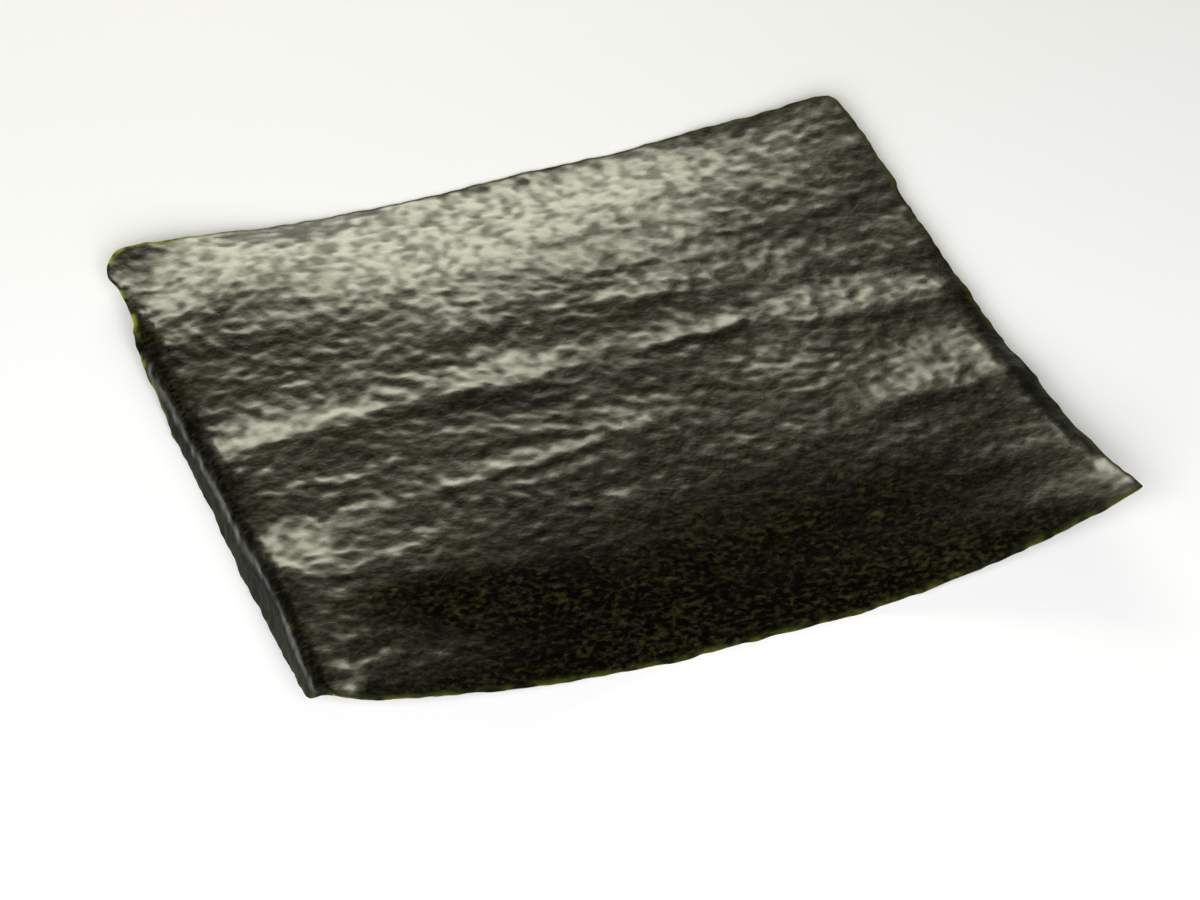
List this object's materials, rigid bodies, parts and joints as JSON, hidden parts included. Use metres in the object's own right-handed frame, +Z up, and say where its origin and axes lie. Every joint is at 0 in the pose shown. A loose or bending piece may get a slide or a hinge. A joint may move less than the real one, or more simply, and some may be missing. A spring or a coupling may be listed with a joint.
{
  "type": "nori sheet",
  "caption": "Thin rectangular sheet of roasted pressed seaweed, gently crowned in the middle, with soft folds, a rolled-down margin and raised curling corners.",
  "frame": {"origin": "on the surface that the sheet lies on, under the middle of its bounding box", "axes": "+X along the long side, +Y across it to the back, +Z up, out of the shiny upper face"},
  "size_m": [0.2088, 0.1898, 0.0171],
  "materials": {
    "nori": "dark olive-black roasted seaweed with a soft greenish-grey sheen, fine cockles and thin yellow-green edges"
  },
  "bodies": {
    "root": {"nori_sheet": "nori"}
  },
  "joints": []
}
